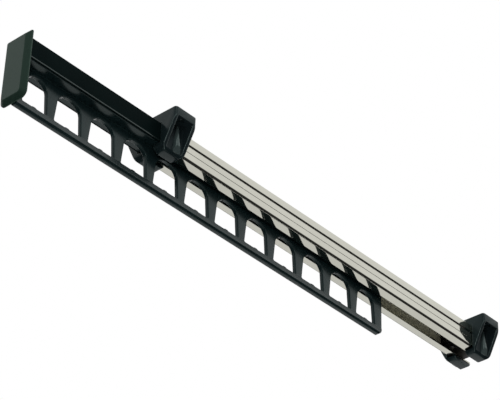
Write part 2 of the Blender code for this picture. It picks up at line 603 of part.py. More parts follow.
class RearStop:
    """The plug in the channel's far end, its rivets and the soft bumper that the slide closes against."""

    def rivet(self, x: float, head: float) -> bmesh.types.BMesh:
        """One rivet, its head under the plug and its end above the channel."""
        r = PLUG_RIVET_RADIUS
        mesh = bmesh.new()
        lathe(mesh, x, PLUG_RIVET_Y, [(r * 0.7, head - r * 0.8), (r * 1.5, head - r * 0.45), (r * 1.5, head),
                                      (r, head), (r, CHANNEL_TOP + SEAT_GAP / 2), (r * 0.9, CHANNEL_TOP + SEAT_GAP)], 16)
        return mesh

    def build(self, shop: Workshop) -> None:
        """Make the plug, the two rivets and the bumper."""
        half = CHANNEL_HALF - STEEL - SEAT_GAP
        top = CHANNEL_CEILING - SEAT_GAP
        low = top - PLUG_DROP
        mesh = bmesh.new()
        box(mesh, (-half, PLUG_START, low), (half, PLUG_END, top))
        plug = shop.put("rear_plug", mesh, shop.finish("plug_black", PLUG_BLACK))
        holes = bmesh.new()
        for side, x in (("left", -PLUG_RIVET_X), ("right", PLUG_RIVET_X)):
            cylinder(holes, x, PLUG_RIVET_Y, low - THROUGH, top + THROUGH, PLUG_RIVET_RADIUS + SEAT_GAP)
            shop.put(f"plug_rivet_{side}", self.rivet(x, low - SEAT_GAP), shop.finish("zinc", ZINC))
        shop.cut(plug, shop.put("plug_holes", holes))
        pad = bmesh.new()
        wide = half - BUMPER_INSET
        box(pad, (-wide, BUMPER_START, low + BUMPER_INSET), (wide, BUMPER_START + BUMPER, top - BUMPER_INSET))
        shop.put("rear_bumper", pad, shop.finish("rubber", RUBBER))


class StopRivet:
    """The stud under the channel's top that ends the outward travel."""

    def build(self, shop: Workshop) -> None:
        """Turn the stud, with its head above the channel."""
        r = STOP_RIVET_RADIUS
        tip = PROFILE_FLOOR + RUN_GAP + STOP_RIVET_TIP
        head = CHANNEL_TOP + SEAT_GAP
        mesh = bmesh.new()
        lathe(mesh, 0.0, STOP_RIVET_Y, [(r * 0.85, tip), (r, tip + r * 0.2), (r, head), (r * 1.9, head),
                                        (r * 1.9, head + r * 0.3), (r * 1.2, head + r * 0.75)])
        shop.put("stop_rivet", mesh, shop.finish("zinc", ZINC))


def main() -> None:
    """Build every piece of the rail."""
    shop = Workshop()
    brackets = (Bracket("front_bracket", 0.0), Bracket("rear_bracket", REAR_BRACKET_Y))
    slide = (SlideProfile(), HangerStrip(), HandlePlate(), TailGlide())
    for piece in (Channel(), *brackets, ChannelScrews(), *slide, RearStop(), StopRivet()):
        piece.build(shop)


main()
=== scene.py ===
"""Looks of a pull-out clothes rail: nickel channel, black mouldings and the slide with its eyelet strip.

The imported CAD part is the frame. Every piece here stands where its node stands, in metres, X to the right
seen from the handle, Y into the wardrobe and Z up into the shelf.
"""

import logging
import math
from contextlib import contextmanager
from dataclasses import dataclass
from enum import Enum, IntEnum
from functools import cache
from typing import Callable, Iterator

import bmesh
import bpy
from bmesh.types import BMEdge, BMesh, BMVert
from bpy.types import ID, Material, Node, NodeSocket, NodeTree, Object
from mathutils import Matrix, Vector


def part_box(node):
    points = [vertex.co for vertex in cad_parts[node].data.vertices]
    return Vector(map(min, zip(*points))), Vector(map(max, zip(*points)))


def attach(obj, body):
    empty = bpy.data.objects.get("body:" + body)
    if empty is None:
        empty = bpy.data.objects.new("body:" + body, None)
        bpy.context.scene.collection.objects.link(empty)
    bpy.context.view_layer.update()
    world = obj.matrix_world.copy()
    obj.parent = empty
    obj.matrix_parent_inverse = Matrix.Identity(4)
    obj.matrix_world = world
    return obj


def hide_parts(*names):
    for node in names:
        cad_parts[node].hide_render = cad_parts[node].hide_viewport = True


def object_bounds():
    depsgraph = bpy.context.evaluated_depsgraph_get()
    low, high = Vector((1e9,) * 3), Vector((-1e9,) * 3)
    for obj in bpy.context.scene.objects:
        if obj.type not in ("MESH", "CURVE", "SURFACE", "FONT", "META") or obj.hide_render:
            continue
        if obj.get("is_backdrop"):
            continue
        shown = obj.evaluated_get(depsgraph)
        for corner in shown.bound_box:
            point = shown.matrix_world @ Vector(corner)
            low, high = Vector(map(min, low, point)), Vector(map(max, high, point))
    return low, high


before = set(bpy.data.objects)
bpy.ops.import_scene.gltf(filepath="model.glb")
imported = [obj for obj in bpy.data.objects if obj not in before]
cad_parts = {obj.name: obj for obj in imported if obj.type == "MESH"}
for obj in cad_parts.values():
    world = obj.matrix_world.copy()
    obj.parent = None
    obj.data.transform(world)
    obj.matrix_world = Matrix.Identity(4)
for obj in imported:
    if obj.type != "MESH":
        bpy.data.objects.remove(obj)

log = logging.getLogger("clothes_rail")

MM = 0.001
# Points that are closer than this count as one place.
NEAR = 0.01 * MM
# How far a cutting shape reaches past what it cuts.
OVERCUT = 1.0 * MM
# How much lower the channel's lips lie at the slot than at its sides.
LIP_DROOP = 0.6 * MM
# The steel's thickness, and the wall of the profile that runs in it.
SHEET = 1.0 * MM
RUNNER_WALL = 1.6 * MM
# The play between pieces that sit in each other.
SEAT_GAP = 0.3 * MM
# The bevel profile of a circular rounding.
CIRCULAR = 0.5
# A face whose normal lies at least this far along Y closes an end.
END_NORMAL = 0.5

WHITE = (1.0, 1.0, 1.0, 1.0)
# Socket types of node groups, and the places of a colour Mix node's sockets.
NUMBER = "NodeSocketFloat"
VECTOR = "NodeSocketVector"
MIX_FIRST = 6
MIX_SECOND = 7
MIX_RESULT = 2

Point = tuple[float, float]
Place = tuple[float, float, float]
Colour = tuple[float, float, float]


class Body(Enum):
    """The two bodies of the frame that pieces ride on."""

    FIXED = "fixed_rail"
    SLIDE = "slide"


class Join(Enum):
    """How a Boolean combines two shapes."""

    CUT = "DIFFERENCE"
    ADD = "UNION"
    KEEP = "INTERSECT"


class FaceSet(IntEnum):
    """The material numbers of a piece's faces: the main finish, and those of marked faces."""

    MAIN = 0
    SECOND = 1
    THIRD = 2


class Plane(Enum):
    """The plane an outline is drawn in, with the axis it is extruded along."""

    XZ = 1
    YZ = 0

    def place(self, point: Point, depth: float) -> Vector:
        """Put a point of the plane into space, at a depth along the third axis."""
        return Vector((*point[:self.value], depth, *point[self.value:]))


class Form:
    """A bmesh that is shaped with operators, in the part's own frame."""

    def __init__(self) -> None:
        """Start with an empty mesh."""
        self.mesh = bmesh.new()

    def prism(self, outline: list[Point], plane: Plane, start: float, end: float) -> "Form":
        """Fill a closed outline and extrude it.

        Args:
            outline: The corners of the outline, in order.
            plane: The plane that the outline lies in.
            start: Where the extrusion starts along the third axis.
            end: Where it ends.

        Returns:
            This form.
        """
        faces = bmesh.ops.edgeloop_fill(self.mesh, edges=self._closed(plane.place(p, start) for p in outline))
        grown = bmesh.ops.extrude_face_region(self.mesh, geom=faces["faces"])["geom"]
        moved = [item for item in grown if isinstance(item, BMVert)]
        bmesh.ops.translate(self.mesh, verts=moved, vec=plane.place((0.0, 0.0), end - start))
        return self

    def _closed(self, places: Iterator[Vector]) -> list[BMEdge]:
        """Add a closed loop of edges through some places."""
        corners = [self.mesh.verts.new(place) for place in places]
        return [self.mesh.edges.new(ends) for ends in zip(corners, corners[1:] + corners[:1])]

    def loft(self, plane: Plane, stations: list[tuple[float, list[Point]]]) -> "Form":
        """Close a body through outlines that have the same number of points.

        Args:
            plane: The plane that the outlines lie in.
            stations: The outlines in order, each with its place along the third axis.

        Returns:
            This form.
        """
        loops = [self._closed(plane.place(p, depth) for p in outline) for depth, outline in stations]
        for near, far in zip(loops, loops[1:]):
            bmesh.ops.bridge_loops(self.mesh, edges=near + far)
        for cap in (loops[0], loops[-1]):
            bmesh.ops.edgeloop_fill(self.mesh, edges=cap)
        return self

    def rod(self, centre: Point, low: float, high: float, radius: float, segments: int = 32,
            taper: float = 1.0) -> "Form":
        """Add an upright closed cylinder or cone.

        Args:
            centre: Its axis in X and Y.
            low: Its lower end.
            high: Its upper end.
            radius: Its radius at the lower end.
            segments: The number of its sides.
            taper: The share of the radius that is left at the upper end.

        Returns:
            This form.
        """
        stand = Matrix.Translation((*centre, (low + high) / 2))
        bmesh.ops.create_cone(self.mesh, cap_ends=True, segments=segments, radius1=radius,
                              radius2=radius * taper, depth=high - low, matrix=stand)
        return self

    def edges(self, test: Callable[[Vector, Vector], bool]) -> list[BMEdge]:
        """List the edges whose two ends pass a test."""
        return [edge for edge in self.mesh.edges if test(edge.verts[0].co, edge.verts[1].co)]

    def long_edges(self, half: float, height: float) -> list[BMEdge]:
        """List the lengthwise edges at a distance to both sides of the middle and at a height."""
        lengthwise = along(1)
        return self.edges(lambda a, b: lengthwise(a, b) and abs(abs(a.x) - half) < NEAR
                          and abs(a.z - height) < NEAR)

    def round(self, edges: list[BMEdge], radius: float, segments: int) -> "Form":
        """Round some edges by a radius, with a number of faces across each rounding."""
        bmesh.ops.bevel(self.mesh, geom=edges, offset=radius, offset_type="OFFSET", affect="EDGES",
                        segments=segments, profile=CIRCULAR, material=-1, clamp_overlap=True)
        return self

    def trim(self, point: Vector, normal: Vector) -> None:
        """Drop what lies on the outer side of a plane and close the cut.

        Args:
            point: A point of the plane.
            normal: The plane's normal, towards the side that is dropped.
        """
        everything = self.mesh.verts[:] + self.mesh.edges[:] + self.mesh.faces[:]
        cut = bmesh.ops.bisect_plane(self.mesh, geom=everything, plane_co=point, plane_no=normal,
                                     clear_outer=True)
        rim = [item for item in cut["geom_cut"] if isinstance(item, BMEdge)]
        if rim:
            bmesh.ops.edgeloop_fill(self.mesh, edges=rim)

    def mark(self, test: Callable[[Vector], bool]) -> None:
        """Number the lengthwise faces whose middle passes a test for the second finish.

        Args:
            test: The test of a face's middle.
        """
        for face in self.mesh.faces:
            marked = test(face.calc_center_median()) and abs(face.normal.y) < END_NORMAL
            face.material_index = FaceSet.SECOND if marked else FaceSet.MAIN

    def triangulate(self) -> "Form":
        """Split every face into triangles, so that bent faces cut cleanly."""
        bmesh.ops.triangulate(self.mesh, faces=self.mesh.faces)
        return self

    def to_object(self, name: str) -> Object:
        """Hand the shape over as an object with its faces outwards.

        Args:
            name: The object's name.

        Returns:
            The new object.
        """
        bmesh.ops.recalc_face_normals(self.mesh, faces=self.mesh.faces)
        data = bpy.data.meshes.new(name)
        self.mesh.to_mesh(data)
        self.mesh.free()
        return linked(name, data)


def linked(name: str, data: ID) -> Object:
    """Make an object and link it into the scene.

    Args:
        name: The object's name.
        data: Its mesh, lamp or camera.

    Returns:
        The object.
    """
    thing = bpy.data.objects.new(name, data)
    bpy.context.scene.collection.objects.link(thing)
    return thing


def along(axis: int) -> Callable[[Vector, Vector], bool]:
    """Give a test for edges that run along one axis."""
    others = [i for i in range(3) if i != axis]
    return lambda a, b: all(abs(a[i] - b[i]) < NEAR for i in others) and abs(a[axis] - b[axis]) > NEAR


def mirrored(half: list[Point]) -> list[Point]:
    """Add the mirror image of one half of an outline, in turning order."""
    return half + [(-x, z) for x, z in reversed(half)]


def arc(centre: Point, radius: float, begin: float, finish: float, steps: int) -> list[Point]:
    """Points on an arc, from one angle in degrees to another in equal steps, both ends included."""
    turns = [math.radians(begin + (finish - begin) * i / steps) for i in range(steps + 1)]
    return [(centre[0] + radius * math.cos(t), centre[1] + radius * math.sin(t)) for t in turns]


def quarter_turn(steps: int) -> list[Point]:
    """The sine and cosine of even steps through a quarter turn."""
    angles = [step / steps * math.pi / 2 for step in range(steps + 1)]
    return [(math.sin(angle), math.cos(angle)) for angle in angles]


def lip_top() -> float:
    """The height above the channel's lips at which the slide runs."""
    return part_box("channel")[0].z + LIP_DROOP + SHEET + SEAT_GAP


@contextmanager
def edited(thing: Object) -> Iterator[BMesh]:
    """Lend a piece's mesh for editing and write it back afterwards.

    Args:
        thing: The piece.

    Yields:
        Its mesh.
    """
    mesh = bmesh.new()
    mesh.from_mesh(thing.data)
    yield mesh
    mesh.to_mesh(thing.data)
    mesh.free()


class Bench:
    """Makes objects of forms, cuts and joins them, and sets them on the frame."""

    FLAT = math.radians(1.0)
    SHARP = math.radians(40.0)

    def __init__(self) -> None:
        """Start with an empty list of pieces."""
        self.made: list[str] = []

    def combine(self, thing: Object, form: Form, join: Join) -> None:
        """Combine an object with a form by an exact Boolean, and keep only the result.

        Args:
            thing: The object that changes.
            form: The other shape.
            join: How they combine.
        """
        tool = form.to_object("tool")
        for _ in thing.data.materials:
            tool.data.materials.append(None)
        step = thing.modifiers.new("combine", "BOOLEAN")
        step.operation, step.solver, step.object = join.value, "EXACT", tool
        self._keep_result(thing)
        bpy.data.meshes.remove(tool.data)

    def soften(self, thing: Object, width: float, segments: int, finish: int) -> None:
        """Round the sharp edges of a piece, and number the faces of the outer ones.

        Args:
            thing: The piece.
            width: How far the rounding reaches from an edge.
            segments: The number of faces across it.
            finish: The material number that the rounded faces get.
        """
        with edited(thing) as mesh:
            bmesh.ops.remove_doubles(mesh, verts=mesh.verts, dist=NEAR)
            bmesh.ops.dissolve_limit(mesh, angle_limit=self.FLAT, verts=mesh.verts, edges=mesh.edges)
        while len(thing.data.materials) <= finish:
            thing.data.materials.append(None)
        step = thing.modifiers.new("soften", "BEVEL")
        step.width, step.segments, step.material = width, segments, finish
        step.limit_method, step.angle_limit = "ANGLE", self.SHARP
        step.use_clamp_overlap = False
        self._keep_result(thing)
        with edited(thing) as mesh:
            for face in mesh.faces:
                turn = sum(edge.calc_face_angle_signed(0.0) for edge in face.edges)
                if face.material_index == finish and turn < 0.0:
                    face.material_index = FaceSet.MAIN

    def _keep_result(self, thing: Object) -> None:
        """Replace a piece's mesh by what its modifiers make of it.

        Args:
            thing: The piece.
        """
        bpy.context.view_layer.update()
        shaped = thing.evaluated_get(bpy.context.evaluated_depsgraph_get())
        old, thing.data = thing.data, bpy.data.meshes.new_from_object(shaped)
        thing.modifiers.clear()
        bpy.data.meshes.remove(old)

    def seat(self, thing: Object, body: Body, finishes: list["Finish"], node: str,
             smooth: float = 38.0) -> None:
        """Dress a piece and set it on its body in place of its CAD node.

        Args:
            thing: The piece.
            body: The body that it rides on.
            finishes: Its finishes, in the order of its faces' material numbers.
            node: The CAD node that it stands for.
            smooth: Edges sharper than this many degrees stay sharp.
        """
        numbers = [face.material_index for face in thing.data.polygons]
        thing.data.materials.clear()
        for finish in finishes:
            thing.data.materials.append(finish.material())
        for face, number in zip(thing.data.polygons, numbers):
            face.use_smooth = True
            face.material_index = min(number, len(finishes) - 1)
        thing.data.set_sharp_from_angle(angle=math.radians(smooth))
        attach(thing, body.value)
        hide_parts(node)
        self.made.append(thing.name)
        log.info("%s: %d faces on %s", thing.name, len(thing.data.polygons), body.value)

    def dress_node(self, node: str, finish: "Finish") -> None:
        """Give a CAD node that stays in view its finish.

        Args:
            node: The node.
            finish: The finish.
        """
        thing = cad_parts[node]
        thing.data.materials.clear()
        thing.data.materials.append(finish.material())
        self.made.append(node)
        log.info("%s: CAD node in %s", node, finish.name)


class Nodes:
    """Adds nodes to a tree and wires them by name."""

    def __init__(self, tree: NodeTree) -> None:
        """Take the tree that gets the nodes."""
        self.tree = tree

    def add(self, kind: str, *values: object, **settings: object) -> Node:
        """Add a node.

        Args:
            kind: The node's type name, without ShaderNode.
            values: Sockets or values for its first inputs, in order.
            settings: What else is set up on it.

        Returns:
            The node.
        """
        node = self.set_up(self.tree.nodes.new(f"ShaderNode{kind}"), **settings)
        for value, target in zip(values, node.inputs):
            self.feed(value, target)
        return node

    def set_up(self, node: Node, **settings: object) -> Node:
        """Set a node up.

        Args:
            node: The node.
            settings: Its properties; a key that names an input feeds that input.

        Returns:
            The node.
        """
        for key, value in settings.items():
            if hasattr(node, key):
                setattr(node, key, value)
            else:
                self.feed(value, node.inputs[key.replace("_", " ")])
        return node

    def math(self, operation: str, first: object, second: object) -> NodeSocket:
        """Add a Math node for two sockets or numbers and give its output."""
        return self.add("Math", first, second, operation=operation).outputs[0]

    def feed(self, value: object, target: NodeSocket) -> None:
        """Link a socket to an input, or set the input to a value.

        Args:
            value: The socket or the value.
            target: The input.
        """
        if isinstance(value, NodeSocket):
            self.tree.links.new(value, target)
        else:
            target.default_value = value

    def span(self, source: NodeSocket, reach: Point, levels: Point, curve: str = "LINEAR") -> NodeSocket:
        """Map a value from its lowest and highest onto two levels, along a named curve."""
        return self.add("MapRange", interpolation_type=curve, Value=source, From_Min=reach[0],
                        From_Max=reach[1], To_Min=levels[0], To_Max=levels[1]).outputs["Result"]


class Group(Nodes):
    """A shader node group."""

    def __init__(self, name: str, inputs: dict[str, float], outputs: dict[str, str]) -> None:
        """Start the group.

        Args:
            name: The group's name.
            inputs: Its number inputs with their defaults.
            outputs: Its outputs with their socket types.
        """
        super().__init__(bpy.data.node_groups.new(name, "ShaderNodeTree"))
        sockets = self.tree.interface
        for key, value in inputs.items():
            sockets.new_socket(key, in_out="INPUT", socket_type=NUMBER).default_value = value
        for key, kind in outputs.items():
            sockets.new_socket(key, in_out="OUTPUT", socket_type=kind)
        self.given = self.tree.nodes.new("NodeGroupInput").outputs
        self.end = self.tree.nodes.new("NodeGroupOutput")


class Effects:
    """The node groups that finishes share, each made on first use."""

    HAZE_FINER = 5.0
    EDGE_GAIN = 4.0
    EDGE_SAMPLES = 6
    LINE_STRETCH = (1.0, 0.004, 1.0)
    CLOUD_SCALE = 35.0

    @classmethod
    @cache
    def moulding(cls) -> NodeTree:
        """Moulded surface: fine grain as a height, slow changes of tone and of gloss.

        Returns:
            The group.
        """
        nodes = Group("moulded surface", {"Grain Scale": 4000.0, "Flow Scale": 60.0},
                      {"Height": NUMBER, "Tone": NUMBER, "Gloss": NUMBER})
        place = nodes.add("TexCoord").outputs["Object"]
        fine, slow = nodes.given["Grain Scale"], nodes.given["Flow Scale"]
        between = nodes.math("MULTIPLY", slow, cls.HAZE_FINER)
        grain = nodes.add("TexNoise", Vector=place, Scale=fine, Detail=2.0, Roughness=0.6).outputs["Fac"]
        flow = nodes.add("TexNoise", Vector=place, Scale=slow, Detail=3.0, Roughness=0.55).outputs["Fac"]
        haze = nodes.add("TexNoise", Vector=place, Scale=between, Detail=4.0, Roughness=0.7).outputs["Fac"]
        nodes.set_up(nodes.end, Height=grain, Tone=flow, Gloss=haze)
        return nodes.tree

    @classmethod
    @cache
    def soft_edge(cls) -> NodeTree:
        """Rounded edges: the bevelled normal, and a mask of where it leaves the flat one.

        Returns:
            The group.
        """
        nodes = Group("soft edge", {"Radius": 0.4 * MM}, {"Normal": VECTOR, "Edge": NUMBER})
        bent = nodes.add("Bevel", samples=cls.EDGE_SAMPLES, Radius=nodes.given["Radius"]).outputs["Normal"]
        flat = nodes.add("NewGeometry").outputs["Normal"]
        dot = nodes.add("VectorMath", bent, flat, operation="DOT_PRODUCT")
        away = nodes.math("SUBTRACT", 1.0, dot.outputs["Value"])
        edge = nodes.add("Clamp", Value=nodes.math("MULTIPLY", away, cls.EDGE_GAIN))
        nodes.set_up(nodes.end, Normal=bent, Edge=edge.outputs[0])
        return nodes.tree

    @classmethod
    @cache
    def drawn(cls) -> NodeTree:
        """Drawn metal: fine lines along Y as a height, and a cloudy change of tone.

        Returns:
            The group.
        """
        nodes = Group("drawn metal", {"Line Scale": 1500.0}, {"Height": NUMBER, "Tone": NUMBER})
        place = nodes.add("TexCoord").outputs["Object"]
        drawn = nodes.add("Mapping", Vector=place, Scale=cls.LINE_STRETCH).outputs["Vector"]
        fine = nodes.given["Line Scale"]
        lines = nodes.add("TexNoise", Vector=drawn, Scale=fine, Detail=2.0, Roughness=0.5).outputs["Fac"]
        cloud = nodes.add("TexNoise", Vector=place, Scale=cls.CLOUD_SCALE, Detail=3.0).outputs["Fac"]
        nodes.set_up(nodes.end, Height=lines, Tone=cloud)
        return nodes.tree


def new_material(name: str) -> tuple[Material, Node]:
    """Start a material.

    Args:
        name: The material's name.

    Returns:
        The material and its Principled shader.
    """
    made = bpy.data.materials.new(name)
    made.use_nodes = True
    return made, next(node for node in made.node_tree.nodes if node.type == "BSDF_PRINCIPLED")


@dataclass(frozen=True)
class Finish:
    """A surface finish, made into a material on first use.

    Attributes:
        name: The material's name.
        colour: Its base colour.
        roughness: Its middle roughness.
        metallic: 1 for metal.
        specular: The specular level, 0.5 for common plastics.
        grain: The depth of its fine texture, in metres.
        spread: How far tone and gloss wander.
        edge: The radius of its rounded edges, in metres.
        tint: The tint of its highlights.
        drawn: Whether it is drawn metal and not a moulding.
    """

    name: str
    colour: Colour
    roughness: float
    metallic: float = 0.0
    specular: float = 0.5
    grain: float = 0.02 * MM
    spread: float = 0.15
    edge: float = 0.4 * MM
    tint: Colour = (1.0, 1.0, 1.0)
    drawn: bool = False

    BUMP = 0.3
    TONE_REACH = (0.3, 0.7)

    @cache
    def material(self) -> Material:
        """Make the material.

        Returns:
            The material, the same one at each call.
        """
        made, shader = new_material(self.name)
        nodes = Nodes(made.node_tree)
        surface = nodes.add("Group", node_tree=Effects.drawn() if self.drawn else Effects.moulding())
        edge = nodes.add("Group", node_tree=Effects.soft_edge(), Radius=self.edge)
        colour = self._colour(nodes, surface.outputs["Tone"], edge.outputs["Edge"])
        gloss = surface.outputs["Tone" if self.drawn else "Gloss"]
        least, most = self._wander()
        roughness = nodes.span(gloss, (0.0, 1.0), (self.roughness * least, self.roughness * most))
        bump = nodes.add("Bump", Strength=self.BUMP, Distance=self.grain, Height=surface.outputs["Height"],
                         Normal=edge.outputs["Normal"])
        nodes.set_up(shader, Base_Color=colour, Metallic=self.metallic, Roughness=roughness,
                     Specular_IOR_Level=self.specular, Specular_Tint=(*self.tint, 1.0),
                     Normal=bump.outputs["Normal"])
        return made

    def _wander(self) -> Point:
        """The shares of a value between which it wanders."""
        return 1.0 - self.spread, 1.0 + self.spread

    def _colour(self, nodes: Nodes, tone: NodeSocket, edge: NodeSocket) -> NodeSocket:
        """Let the base colour wander a little with the tone, except along the edges.

        Args:
            nodes: The material's nodes.
            tone: The tone.
            edge: The mask of the edges.

        Returns:
            The colour.
        """
        ramp = nodes.add("ValToRGB", Fac=tone)
        for stop, share, reach in zip(ramp.color_ramp.elements, self._wander(), self.TONE_REACH):
            stop.color = (*(channel * share for channel in self.colour), 1.0)
            stop.position = reach
        mix = nodes.add("Mix", edge, data_type="RGBA")
        nodes.feed(ramp.outputs["Color"], mix.inputs[MIX_FIRST])
        nodes.feed((*self.colour, 1.0), mix.inputs[MIX_SECOND])
        return mix.outputs[MIX_RESULT]


TEAL = (0.80, 1.0, 0.96)
GREEN = (0.62, 1.0, 0.80)
CRISP = 0.05 * MM
NICKEL = Finish("bright nickel", (0.565, 0.56, 0.495), 0.06, metallic=1.0, grain=0.002 * MM, spread=0.03,
                edge=0.1 * MM, drawn=True)
DULL_NICKEL = Finish("dull nickel inside", (0.86, 0.85, 0.74), 0.60, grain=0.002 * MM, spread=0.05,
                     edge=CRISP, drawn=True)
BRACKET_BLACK = Finish("bracket moulding", (0.016, 0.029, 0.032), 0.22, specular=0.25, tint=TEAL, edge=CRISP)
# A lighter, glossier copy of the bracket moulding for the rounded outer edges and the bosses: a painted
# highlight where the light catches them.
BRACKET_PAINTED_HIGHLIGHT = Finish("bracket moulding, painted highlight", (0.07, 0.10, 0.10), 0.15, specular=0.60, tint=TEAL,
                      edge=CRISP)
BRACKET_CORE = Finish("bracket moulding, core side", (0.016, 0.026, 0.030), 0.50, specular=0.12, tint=TEAL,
                      edge=CRISP)
SLIDE_BLACK = Finish("slide profile black", (0.005, 0.0125, 0.0125), 0.45, specular=0.008, edge=0.2 * MM)
EDGE_BLACK = Finish("slide profile edge", (0.006, 0.014, 0.014), 0.16, specular=0.60, tint=TEAL,
                    edge=0.03 * MM)
STRIP_BLACK = Finish("eyelet strip moulding", (0.012, 0.026, 0.028), 0.22, specular=0.29, tint=TEAL,
                     grain=0.006 * MM, edge=CRISP)
HANDLE_BLACK = Finish("pull plate moulding", (0.023, 0.048, 0.036), 0.35, specular=0.37, tint=GREEN,
                      spread=0.05, edge=0.1 * MM)
PLUG_BLACK = Finish("plug moulding", (0.006, 0.007, 0.008), 0.40, specular=0.3)
ZINC = Finish("zinc plate", (0.55, 0.56, 0.57), 0.28, metallic=1.0, spread=0.1, edge=0.15 * MM)
ACETAL = Finish("natural acetal", (0.72, 0.72, 0.69), 0.40, spread=0.03)
RUBBER = Finish("soft rubber", (0.012, 0.012, 0.012), 0.75, specular=0.3, grain=0.05 * MM)


@dataclass
class SteelChannel:
    """The rolled channel, open below, with two rolled lines on each side."""

    node: str = "channel"
    slot_half: float = 3.8 * MM
    low_bend: float = 1.5 * MM
    high_bend: float = 0.4 * MM
    bend_steps: int = 8
    line_heights: Point = (0.36, 0.67)
    line_depths: Point = (0.75 * MM, 0.18 * MM)
    line_half: float = 0.9 * MM
    smooth: float = 25.0

    def outline(self) -> list[Point]:
        """Draw the section with sharp corners.

        Returns:
            The outline's points.
        """
        low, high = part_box(self.node)
        half, foot = high.x, low.z + LIP_DROOP
        right = [(self.slot_half, low.z), (half, foot)]
        for share, depth in sorted(zip(self.line_heights, self.line_depths), reverse=True):
            middle = high.z - share * (high.z - foot)
            reach = self.line_half * depth / max(self.line_depths)
            right += [(half, middle - reach), (half - depth, middle), (half, middle + reach)]
        right.append((half, high.z))
        inner = half - SHEET
        inside = [(-self.slot_half, low.z + SHEET), (-inner, foot + SHEET), (-inner, high.z - SHEET)]
        return mirrored(right) + mirrored(inside)

    def build(self, bench: Bench) -> None:
        """Extrude the section, round its bends and mark the faces that lie inside.

        Args:
            bench: The workbench.
        """
        low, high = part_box(self.node)
        form = Form().prism(self.outline(), Plane.XZ, low.y, high.y)
        for bend, height in ((self.low_bend, low.z + LIP_DROOP), (self.high_bend, high.z)):
            form.round(form.long_edges(high.x, height), bend, self.bend_steps)
        inner, floor, top = high.x - SHEET + NEAR, low.z + SHEET, high.z - SHEET / 2
        form.mark(lambda middle: abs(middle.x) < inner and floor < middle.z < top)
        thing = form.to_object("bright_channel")
        bench.seat(thing, Body.FIXED, [NICKEL, DULL_NICKEL], self.node, self.smooth)


